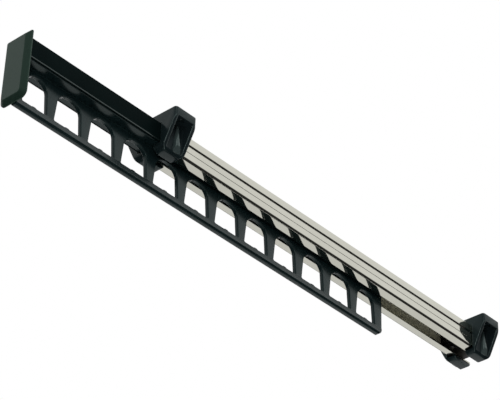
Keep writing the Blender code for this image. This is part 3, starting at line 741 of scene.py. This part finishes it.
@dataclass
class ShelfBracket:
    """A moulded bracket that rings the channel, with an open screw pocket in each wing."""

    node: str
    collar: bool = False
    top_plate: float = 5.5 * MM
    foot_half: float = 10.6 * MM
    slot_half: float = 3.9 * MM
    foot_round: float = 4.0 * MM
    foot_steps: int = 12
    heel_round: float = 1.7 * MM
    corner_round: float = 1.8 * MM
    round_steps: int = 6
    wall_front: float = 2.4 * MM
    wall_inner: float = 1.2 * MM
    floor: float = 1.0 * MM
    pocket_round: float = 0.8 * MM
    pocket_steps: int = 4
    boss_radius: float = 2.9 * MM
    boss_sides: int = 40
    boss_taper: float = 0.28
    boss_foot: float = 1.4 * MM
    boss_round: float = 1.2 * MM
    boss_shift: float = 1.6 * MM
    boss_proud: float = 0.35 * MM
    boss_root: float = 1.08 * MM
    hole: float = 4.0 * MM
    hole_in: float = 3.25 * MM
    hole_shift: float = -0.8 * MM
    screw_x: float = 6.0 * MM
    screw_radius: float = 1.7 * MM
    sink_radius: float = 2.9 * MM
    sink_depth: float = 2.6 * MM
    soft: float = 0.35 * MM
    collar_gap: float = 0.25 * MM
    collar_back: float = 0.1 * MM

    def middle(self) -> float:
        """The bracket's middle along Y."""
        low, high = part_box(self.node)
        return (low.y + high.y) / 2

    def wall(self) -> float:
        """Where the pockets start beside the channel."""
        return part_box("channel")[1].x + SEAT_GAP + self.wall_inner

    def pocket_floor(self) -> float:
        """The lowest height of the pockets."""
        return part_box(self.node)[0].z + self.floor

    def slant(self, z: float) -> float:
        """Half width of the slanted sides at a height."""
        low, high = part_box(self.node)
        return self.foot_half + (z - low.z) / (-self.top_plate - low.z) * (high.x - self.foot_half)

    def ring(self) -> Form:
        """Extrude the ring-shaped section and round its outer corners.

        Returns:
            The ring.
        """
        low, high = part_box(self.node)
        steel_low, steel_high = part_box("channel")
        inner, under, plate = steel_high.x + SEAT_GAP, steel_low.z - SEAT_GAP, -self.top_plate
        right = [(self.slot_half, low.z), (self.foot_half, low.z), (high.x, plate), (high.x, high.z)]
        inside = [(-self.slot_half, under), (-inner, under), (-inner, plate)]
        form = Form().prism(mirrored(right) + mirrored(inside), Plane.XZ, low.y, high.y)
        form.round(form.long_edges(self.foot_half, low.z), self.heel_round, self.round_steps)
        upright = along(2)
        corners = form.edges(lambda a, b: upright(a, b) and abs(abs(a.x) - high.x) < NEAR)
        return form.round(corners, self.corner_round, self.round_steps)

    def front_collar(self) -> Form:
        """The thin frame that hides the steel's end around the slide.

        Returns:
            The frame.
        """
        steel_low, steel_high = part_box("channel")
        slide_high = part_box("slide_profile")[1]
        outer, top = steel_high.x + 2 * SEAT_GAP, -self.top_plate + SEAT_GAP
        foot = steel_low.z - 2 * SEAT_GAP
        half, head = slide_high.x + self.collar_gap, slide_high.z + self.collar_gap
        sill = lip_top() - self.collar_gap
        right = [(self.slot_half, foot), (outer, foot), (outer, top)]
        inside = [(-self.slot_half, sill), (-half, sill), (-half, head)]
        front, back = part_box(self.node)[0].y, steel_low.y - self.collar_back
        return Form().prism(mirrored(right) + mirrored(inside), Plane.XZ, front, back)

    def side_view(self) -> Form:
        """The side outline that rounds the lower front and back edges.

        Returns:
            The shape to keep.
        """
        low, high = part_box(self.node)
        r = self.foot_round
        outline = arc((high.y - r, low.z + r), r, -90, 0, self.foot_steps)
        outline += [(high.y, OVERCUT), (low.y, OVERCUT)]
        outline += arc((low.y + r, low.z + r), r, 180, 270, self.foot_steps)
        return Form().prism(outline, Plane.YZ, low.x - OVERCUT, high.x + OVERCUT)

    def build(self, bench: Bench) -> None:
        """Cut the pockets, soften the edges, add the bosses and drill the holes.

        Args:
            bench: The workbench.
        """
        thing = self.ring().to_object(f"moulded_{self.node}")
        if self.collar:
            bench.combine(thing, self.front_collar(), Join.ADD)
        bench.combine(thing, self.side_view(), Join.KEEP)
        for side in (-1, 1):
            bench.combine(thing, self.pocket(side), Join.CUT)
        # The rounded outer edges get the second finish, a painted highlight along them.
        bench.soften(thing, self.soft, self.round_steps, finish=FaceSet.SECOND)
        self.mark_pockets(thing)
        through = -self.top_plate - OVERCUT
        for side in (-1, 1):
            bench.combine(thing, self.boss(side), Join.ADD)
            hole = side * (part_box(self.node)[1].x - self.hole_in), self.middle() + self.hole_shift
            screw = side * self.screw_x, self.middle()
            for place, foot, radius in ((hole, through, self.hole / 2), (screw, through, self.screw_radius),
                                        (screw, -self.sink_depth, self.sink_radius)):
                bench.combine(thing, Form().rod(place, foot, OVERCUT, radius), Join.CUT)
        # The second finish is the painted highlight of the outer edges and bosses.
        finishes = [BRACKET_BLACK, BRACKET_PAINTED_HIGHLIGHT, BRACKET_CORE]
        bench.seat(thing, Body.FIXED, finishes, self.node)

    def mark_pockets(self, thing: Object) -> None:
        """Number the faces inside the pockets for the duller finish.

        Args:
            thing: The bracket.
        """
        low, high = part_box(self.node)
        wall, middle, floor = self.wall(), self.middle(), self.pocket_floor()
        reach = (high.y - low.y) / 2 - self.wall_front + NEAR
        thing.data.materials.append(None)
        for face in thing.data.polygons:
            x, y, z = face.center
            deep = abs(x) > wall - NEAR and abs(y - middle) < reach
            within = floor - NEAR < z < NEAR - self.top_plate
            if deep and within and face.material_index == FaceSet.MAIN:
                face.material_index = FaceSet.THIRD

    def pocket(self, side: int) -> Form:
        """The hollow of one wing, with rounded corners.

        Args:
            side: 1 for the right wing, -1 for the left.

        Returns:
            The shape to cut.
        """
        low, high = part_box(self.node)
        wall, out = self.wall(), high.x + 2 * OVERCUT
        top, foot = -self.top_plate, self.pocket_floor()
        outline = [(side * wall, top), (side * out, top), (side * out, foot), (side * wall, foot)]
        form = Form().prism(outline, Plane.XZ, low.y + self.wall_front, high.y - self.wall_front)
        inner = form.edges(lambda a, b: max(abs(abs(a.x) - wall), abs(abs(b.x) - wall)) < NEAR)
        return form.round(inner, self.pocket_round, self.pocket_steps)

    def boss(self, side: int) -> Form:
        """The half-round boss at the back of a pocket, cut off by the slant of the wing.

        Args:
            side: 1 for the right wing, -1 for the left.

        Returns:
            The boss.
        """
        foot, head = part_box(self.node)[0].z + self.boss_foot, -self.top_plate + OVERCUT
        centre = side * self.wall(), self.middle() + self.boss_shift
        form = Form().rod(centre, foot, head, self.boss_radius, self.boss_sides, self.boss_taper)
        lowest = form.edges(lambda a, b: max(abs(a.z - foot), abs(b.z - foot)) < NEAR)
        form.round(lowest, self.boss_round, self.round_steps)
        run = self.slant(head) - self.slant(foot)
        outward = Vector((side * (head - foot), 0.0, -run)).normalized()
        form.trim(Vector((side * (self.slant(foot) + self.boss_proud), 0.0, foot)), outward)
        form.trim(Vector((side * (self.wall() - self.boss_root), 0.0, 0.0)), Vector((-side, 0.0, 0.0)))
        # The whole boss gets the lighter second finish: painted light that stands in for the light falling on
        # it.
        for face in form.mesh.faces:
            face.material_index = FaceSet.SECOND
        return form


@dataclass
class SlideRunner:
    """The dull black profile that runs in the channel, with a shinier line along its lower edge."""

    node: str = "slide_profile"
    groove_half: float = 2.6 * MM
    groove_depth: float = 2.0 * MM
    slot_half: float = 2.6 * MM
    edge: float = 0.4 * MM
    edge_steps: int = 4
    skirt_thick: float = 0.95 * MM
    skirt_drop: float = 0.6 * MM
    skirt_edge: float = 0.12 * MM
    line: float = 0.6 * MM

    def build(self, bench: Bench) -> None:
        """Extrude the section, round its long edges and mark the line above each lower edge.

        Args:
            bench: The workbench.
        """
        low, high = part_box(self.node)
        floor = high.z - self.groove_depth
        lip, inner = low.z + RUNNER_WALL, high.x - RUNNER_WALL
        skirt, foot = high.x - self.skirt_thick, low.z - self.skirt_drop
        over = foot + self.skirt_edge + self.line
        right = [(self.slot_half, lip), (self.slot_half, low.z), (skirt, low.z), (skirt, foot)]
        right += [(high.x, foot), (high.x, over), (high.x, high.z)]
        right += [(self.groove_half, high.z), (self.groove_half, floor)]
        hollow = [(-inner, lip), (-inner, floor - RUNNER_WALL)]
        form = Form().prism(mirrored(right) + mirrored(hollow), Plane.XZ, low.y, high.y)
        for radius, height in ((self.edge, high.z), (self.skirt_edge, foot)):
            form.round(form.long_edges(high.x, height), radius, self.edge_steps)
        outer = high.x - self.skirt_edge - NEAR
        form.mark(lambda middle: abs(middle.x) > outer and middle.z < over)
        thing = form.to_object("runner_profile")
        bench.seat(thing, Body.SLIDE, [SLIDE_BLACK, EDGE_BLACK], self.node)


@dataclass
class EyeletStrip:
    """The moulded strip with arched eyelets, hung in the profile's slot."""

    node: str = "hanger_strip"
    count: int = 12
    pitch: float = 25.0 * MM
    post: float = 3.7 * MM
    foot: float = -42.95 * MM
    corner: float = 1.0 * MM
    nick: float = 0.3 * MM
    opening: float = 20.6 * MM
    lean: float = 1.1 * MM
    side: float = 12.65 * MM
    rise: float = 7.9 * MM
    arch_steps: int = 32
    rim: float = 0.55 * MM
    rim_steps: int = 8
    web_half: float = 1.35 * MM
    rail_half: float = 2.2 * MM
    rail_rise: float = 0.25 * MM
    rail_round: float = 1.2 * MM
    rail_steps: int = 16
    flange_half: float = 7.05 * MM
    flange_flare: float = 0.29 * MM
    flange_thick: float = 0.8 * MM
    fillet: float = 0.4 * MM
    fillet_steps: int = 6
    neck: float = 2.3 * MM
    head_tall: float = 2.2 * MM
    seat_from: Point = (-2.4 * MM, -1.2 * MM)
    seat_to: Point = (0.6 * MM, 1.6 * MM)
    seat_bump: float = 0.5 * MM
    tail_post: float = 5.75 * MM
    tail_round: float = 4.0 * MM
    tail_ease: float = 2.4 * MM
    tail_top: float = 1.0 * MM
    tail_clear: float = 0.05 * MM
    tail_arc_steps: int = 10
    tail_steps: int = 8
    smooth: float = 16.0

    def section(self) -> list[Point]:
        """Draw the strip's section: rail, web, flange and the head in the slot.

        Returns:
            The outline's points.
        """
        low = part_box(self.node)[0]
        runner_low, runner_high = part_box("slide_profile")
        under, over = lip_top(), lip_top() + self.flange_thick
        head = runner_low.z + RUNNER_WALL + SEAT_GAP
        head_half = runner_high.x - RUNNER_WALL - SEAT_GAP
        r, curl = self.fillet, self.rail_round
        bow = arc((0.0, low.z + curl), curl, -90, 0, self.rail_steps)
        right = [(self.rail_half * x / curl, z) for x, z in bow]
        right.append((self.web_half, self.foot + self.rail_rise))
        right += arc((self.web_half + r, under - r), r, 180, 90, self.fillet_steps)
        right += [(self.flange_half, under), (self.flange_half + self.flange_flare, over), (self.neck, over)]
        right += [(self.neck, head), (head_half, head), (head_half, head + self.head_tall)]
        return mirrored(right)

    def loop(self, front: float, back: float, inset: float) -> list[Point]:
        """One opening's outline in the YZ plane.

        Args:
            front: The opening's front side at its foot.
            back: Its back side at its foot.
            inset: How far sides and arch are drawn in from the outer line of the rim.

        Returns:
            The outline's points.
        """
        foot, corner, nick = self.foot, self.corner, self.nick
        middle, bump = (front + back) / 2, foot + self.seat_bump
        front, back = front + inset, back - inset
        points = [(front + nick, foot + nick), (front + corner, foot)]
        points += [(middle + self.seat_from[0], foot), (middle + self.seat_from[1], bump)]
        points += [(middle + self.seat_to[0], bump), (middle + self.seat_to[1], foot)]
        points += [(back - corner, foot), (back - nick, foot + nick), (back, foot + corner)]
        reach, rise = (back - front) / 2 - self.lean, self.rise - inset
        for step in range(self.arch_steps + 1):
            turn = math.pi * step / self.arch_steps
            points.append((middle + reach * math.cos(turn), foot + self.side + rise * math.sin(turn)))
        return points + [(front, foot + corner)]

    def eyelet(self, number: int) -> Form:
        """The shape of one arched opening, with a round rim at both faces of the web.

        Args:
            number: The opening's number from the front, from 0.

        Returns:
            The shape to cut.
        """
        low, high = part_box(self.node)
        back = high.y - self.post - (self.count - 1 - number) * self.pitch
        front = max(back - self.opening, low.y + self.post)
        back = min(back, high.y - self.tail_post)
        stations = []
        for sine, cosine in quarter_turn(self.rim_steps):
            outline = self.loop(front, back, self.rim * cosine)
            stations.append((self.web_half - self.rim * (1.0 - sine), outline))
        return self.across(stations)

    def across(self, stations: list[tuple[float, list[Point]]]) -> Form:
        """Loft a cut across the strip, the same on both sides.

        Args:
            stations: Distances from the middle plane, growing, each with its outline in the YZ plane.

        Returns:
            The closed shape, whose last outline goes on past the rail's side.
        """
        right = stations + [(self.rail_half + OVERCUT, stations[-1][1])]
        left = [(-x, outline) for x, outline in reversed(right)]
        return Form().loft(Plane.YZ, left + right).triangulate()

    def tail_cut(self) -> Form:
        """What rounds the strip's end: its lower corner, and the rail's flanks beside the web.

        Returns:
            The shape to cut.
        """
        low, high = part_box(self.node)
        r, top = self.tail_round, self.foot + self.tail_top
        foot, beyond = low.z - OVERCUT, high.y + OVERCUT
        stations = []
        for sine, cosine in quarter_turn(self.tail_steps):
            end = high.y + self.tail_clear - self.tail_ease * (1.0 - cosine)
            outline = arc((end - r, low.z + r), r, -90, 0, self.tail_arc_steps)
            outline += [(end, top), (beyond, top), (beyond, foot), (end - r, foot)]
            stations.append((self.web_half + (self.rail_half - self.web_half) * sine, outline))
        return self.across(stations)

    def build(self, bench: Bench) -> None:
        """Extrude the section, clear its tail and cut the eyelets.

        Args:
            bench: The workbench.
        """
        low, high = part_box(self.node)
        thing = Form().prism(self.section(), Plane.XZ, low.y, high.y).to_object("eyelet_strip")
        tail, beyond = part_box("slide_profile")[1].y, high.y + OVERCUT
        over, wide = lip_top() + self.flange_thick - NEAR, self.flange_half + OVERCUT
        relief = [(tail, over), (beyond, over), (beyond, 0.0), (tail, 0.0)]
        bench.combine(thing, Form().prism(relief, Plane.YZ, -wide, wide), Join.CUT)
        for number in range(self.count):
            bench.combine(thing, self.eyelet(number), Join.CUT)
        bench.combine(thing, self.tail_cut(), Join.CUT)
        bench.seat(thing, Body.SLIDE, [STRIP_BLACK], self.node, self.smooth)


@dataclass
class PullPlate:
    """The chamfered plate on the slide's front end, with its spigot."""

    node: str = "handle_plate"
    back: float = 0.6 * MM
    chamfer: float = 2.7 * MM
    ease: float = 0.12 * MM
    back_ease: float = 0.06 * MM
    front_ease: float = 0.24 * MM
    front_ring: float = 0.48 * MM
    round_top: float = 1.2 * MM
    round_top_loss: float = 0.2
    round_low: float = 3.8 * MM
    round_low_loss: float = 0.6
    top_steps: int = 8
    low_steps: int = 12
    spigot_foot: float = 2.8 * MM
    spigot_head: float = 3.9 * MM
    smooth: float = 24.0

    def outline(self, inset: float) -> list[Point]:
        """The plate's outline, with smaller corners the further it is drawn in.

        Args:
            inset: How far it is drawn in.

        Returns:
            The outline's points.
        """
        low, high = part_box(self.node)
        half, top, foot = high.x - inset, high.z - inset, low.z + inset
        upper = self.round_top * (1.0 - self.round_top_loss * inset / self.chamfer)
        lower = self.round_low - self.round_low_loss * inset
        right = arc((half - lower, foot + lower), lower, -90, 0, self.low_steps)
        right += arc((half - upper, top - upper), upper, 0, 90, self.top_steps)
        return mirrored(right)

    def build(self, bench: Bench) -> None:
        """Loft the plate from its back over the chamfer to its flat front, and join the spigot.

        Args:
            bench: The workbench.
        """
        low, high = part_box(self.node)
        runner_low, runner_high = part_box("slide_profile")
        rear = runner_low.y - SEAT_GAP
        edge = rear - self.back
        insets = [(rear, 0.0), (edge + self.ease, 0.0), (edge - self.ease, self.back_ease),
                  (low.y + self.ease, self.chamfer - self.ease), (low.y, self.chamfer + self.front_ease),
                  (low.y, self.chamfer + self.front_ring)]
        form = Form().loft(Plane.XZ, [(y, self.outline(inset)) for y, inset in insets])
        thing = form.to_object("pull_plate")
        half = runner_high.x - RUNNER_WALL - SEAT_GAP
        foot = runner_low.z + RUNNER_WALL + self.spigot_foot
        head = runner_high.z - self.spigot_head
        spigot = [(-half, foot), (half, foot), (half, head), (-half, head)]
        bench.combine(thing, Form().prism(spigot, Plane.XZ, rear - self.back / 2, high.y), Join.ADD)
        bench.seat(thing, Body.SLIDE, [HANDLE_BLACK], self.node, self.smooth)


@dataclass(frozen=True)
class SmallFittings:
    """The hidden and small CAD nodes, which stay as they are and only get a finish."""

    screws: tuple[str, ...] = ("front_left", "front_right", "rear_left", "rear_right")
    rivets: tuple[str, ...] = ("plug_rivet_left", "plug_rivet_right", "stop_rivet")

    def build(self, bench: Bench) -> None:
        """Give each node its finish.

        Args:
            bench: The workbench.
        """
        for node in (*(f"channel_screw_{place}" for place in self.screws), *self.rivets):
            bench.dress_node(node, ZINC)
        bench.dress_node("rear_plug", PLUG_BLACK)
        bench.dress_node("rear_bumper", RUBBER)
        bench.dress_node("tail_glide", ACETAL)


@dataclass(frozen=True)
class SoftBox:
    """A square lamp that faces the part's middle, with its direction from there, side and watts."""

    name: str
    toward: Place
    size: float
    power: float

    def hang(self, middle: Vector, distance: float) -> None:
        """Hang the lamp.

        Args:
            middle: The part's middle.
            distance: The lamp's distance from it.
        """
        light = bpy.data.lights.new(self.name, "AREA")
        light.size, light.energy = self.size, self.power
        thing = linked(self.name, light)
        thing.location = middle + Vector(self.toward) * distance
        thing.rotation_mode = "QUATERNION"
        thing.rotation_quaternion = (middle - thing.location).to_track_quat("-Z", "Y")
        thing.visible_camera = False


@dataclass
class Studio:
    """Camera, floor, world and lamps."""

    eye: Place = (0.68376, -0.65454, -0.70049)
    right: Place = (0.74314, 0.66849, 0.02936)
    up: Place = (0.36184, -0.43838, 0.82274)
    focal_px: float = 2090.5
    image_width: int = 500
    sensor: float = 36.0
    nearest: float = 0.01
    farthest: float = 50.0
    floor_place: Place = (0.0, -0.35, -1.25)
    floor_half: float = 0.8
    floor_cells: int = 4
    floor_grey: float = 0.8
    floor_roughness: float = 0.9
    sky_heights: Point = (-0.15, 0.30)
    deep_reach: Point = (-0.6, 0.3)
    deep_levels: Point = (0.42, 1.0)
    flag_reach: Point = (0.1, 0.8)
    flag_levels: Point = (1.0, 0.4)
    diagonal: float = 0.707
    room_level: float = 0.95
    room_least: float = 0.03
    lamp_distance: float = 1.6
    lamps: tuple[SoftBox, ...] = (
        SoftBox("soft box below left", (-0.563, 0.601, -0.568), 1.3, 4.4),
        SoftBox("small box front right", (0.585, -0.74, -0.10), 0.4, 3.2),
        SoftBox("soft box above right", (0.60, -0.50, 0.625), 0.5, 1.0),
    )

    def camera(self) -> None:
        """Stand the camera where the photograph was taken from."""
        lens = bpy.data.cameras.new("camera")
        lens.sensor_width = self.sensor
        lens.lens = self.focal_px / self.image_width * self.sensor
        lens.clip_start, lens.clip_end = self.nearest, self.farthest
        stand = linked("camera", lens)
        right, up = Vector(self.right).normalized(), Vector(self.up).normalized()
        back = right.cross(up).normalized()
        turn = Matrix((right, back.cross(right).normalized(), back)).transposed()
        stand.matrix_world = Matrix.Translation(self.eye) @ turn.to_4x4()
        bpy.context.scene.camera = stand

    def floor(self) -> None:
        """Lay a pale floor well below the part and the camera."""
        form = Form()
        bmesh.ops.create_grid(form.mesh, x_segments=self.floor_cells, y_segments=self.floor_cells,
                              size=self.floor_half, matrix=Matrix.Translation(self.floor_place))
        thing = form.to_object("floor")
        pale, shader = new_material("pale floor")
        grey = (*[self.floor_grey] * 3, 1.0)
        Nodes(pale.node_tree).set_up(shader, Base_Color=grey, Roughness=self.floor_roughness)
        thing.data.materials.append(pale)
        thing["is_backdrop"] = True

    def world(self) -> None:
        """White above, dimmer towards the camera and dark below, and plain white behind the part."""
        world = bpy.data.worlds.new("studio")
        bpy.context.scene.world = world
        world.use_nodes = True
        world.node_tree.nodes.clear()
        nodes = Nodes(world.node_tree)
        x, y, z = nodes.add("SeparateXYZ", Vector=nodes.add("TexCoord").outputs["Generated"]).outputs
        height = nodes.span(z, self.sky_heights, (0.0, 1.0), "SMOOTHSTEP")
        depth = nodes.span(y, self.deep_reach, self.deep_levels)
        toward = nodes.math("MULTIPLY", nodes.math("SUBTRACT", x, y), self.diagonal)
        flag = nodes.span(toward, self.flag_reach, self.flag_levels)
        bright = nodes.math("MULTIPLY", height, nodes.math("MULTIPLY", depth, flag))
        level = nodes.math("MAXIMUM", nodes.math("MULTIPLY", bright, self.room_level), self.room_least)
        room = nodes.add("Background", Color=WHITE, Strength=level)
        plain = nodes.add("Background", Color=WHITE)
        path = nodes.add("LightPath").outputs
        mirror = nodes.math("MAXIMUM", path["Is Glossy Ray"], path["Is Transmission Ray"])
        shown = nodes.math("MAXIMUM", path["Is Camera Ray"], nodes.math("MULTIPLY", mirror, bright))
        pick = nodes.add("MixShader", shown, room.outputs[0], plain.outputs[0])
        nodes.add("OutputWorld", Surface=pick.outputs[0])

    def build(self) -> None:
        """Set everything up."""
        bpy.context.scene.view_settings.view_transform = "Standard"
        self.camera()
        self.floor()
        self.world()
        low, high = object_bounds()
        for lamp in self.lamps:
            lamp.hang((low + high) / 2, self.lamp_distance)


def main() -> None:
    """Build the pieces in order, dress them and set the studio."""
    logging.basicConfig(level=logging.INFO, format="%(name)s %(message)s")
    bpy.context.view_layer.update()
    bench = Bench()
    brackets = [ShelfBracket("front_bracket", collar=True), ShelfBracket("rear_bracket")]
    slide = [SlideRunner(), EyeletStrip(), PullPlate()]
    for assembly in [SteelChannel(), *brackets, *slide, SmallFittings()]:
        assembly.build(bench)
    Studio().build()
    log.info("%d pieces", len(bench.made))


if __name__ == "__main__":
    main()
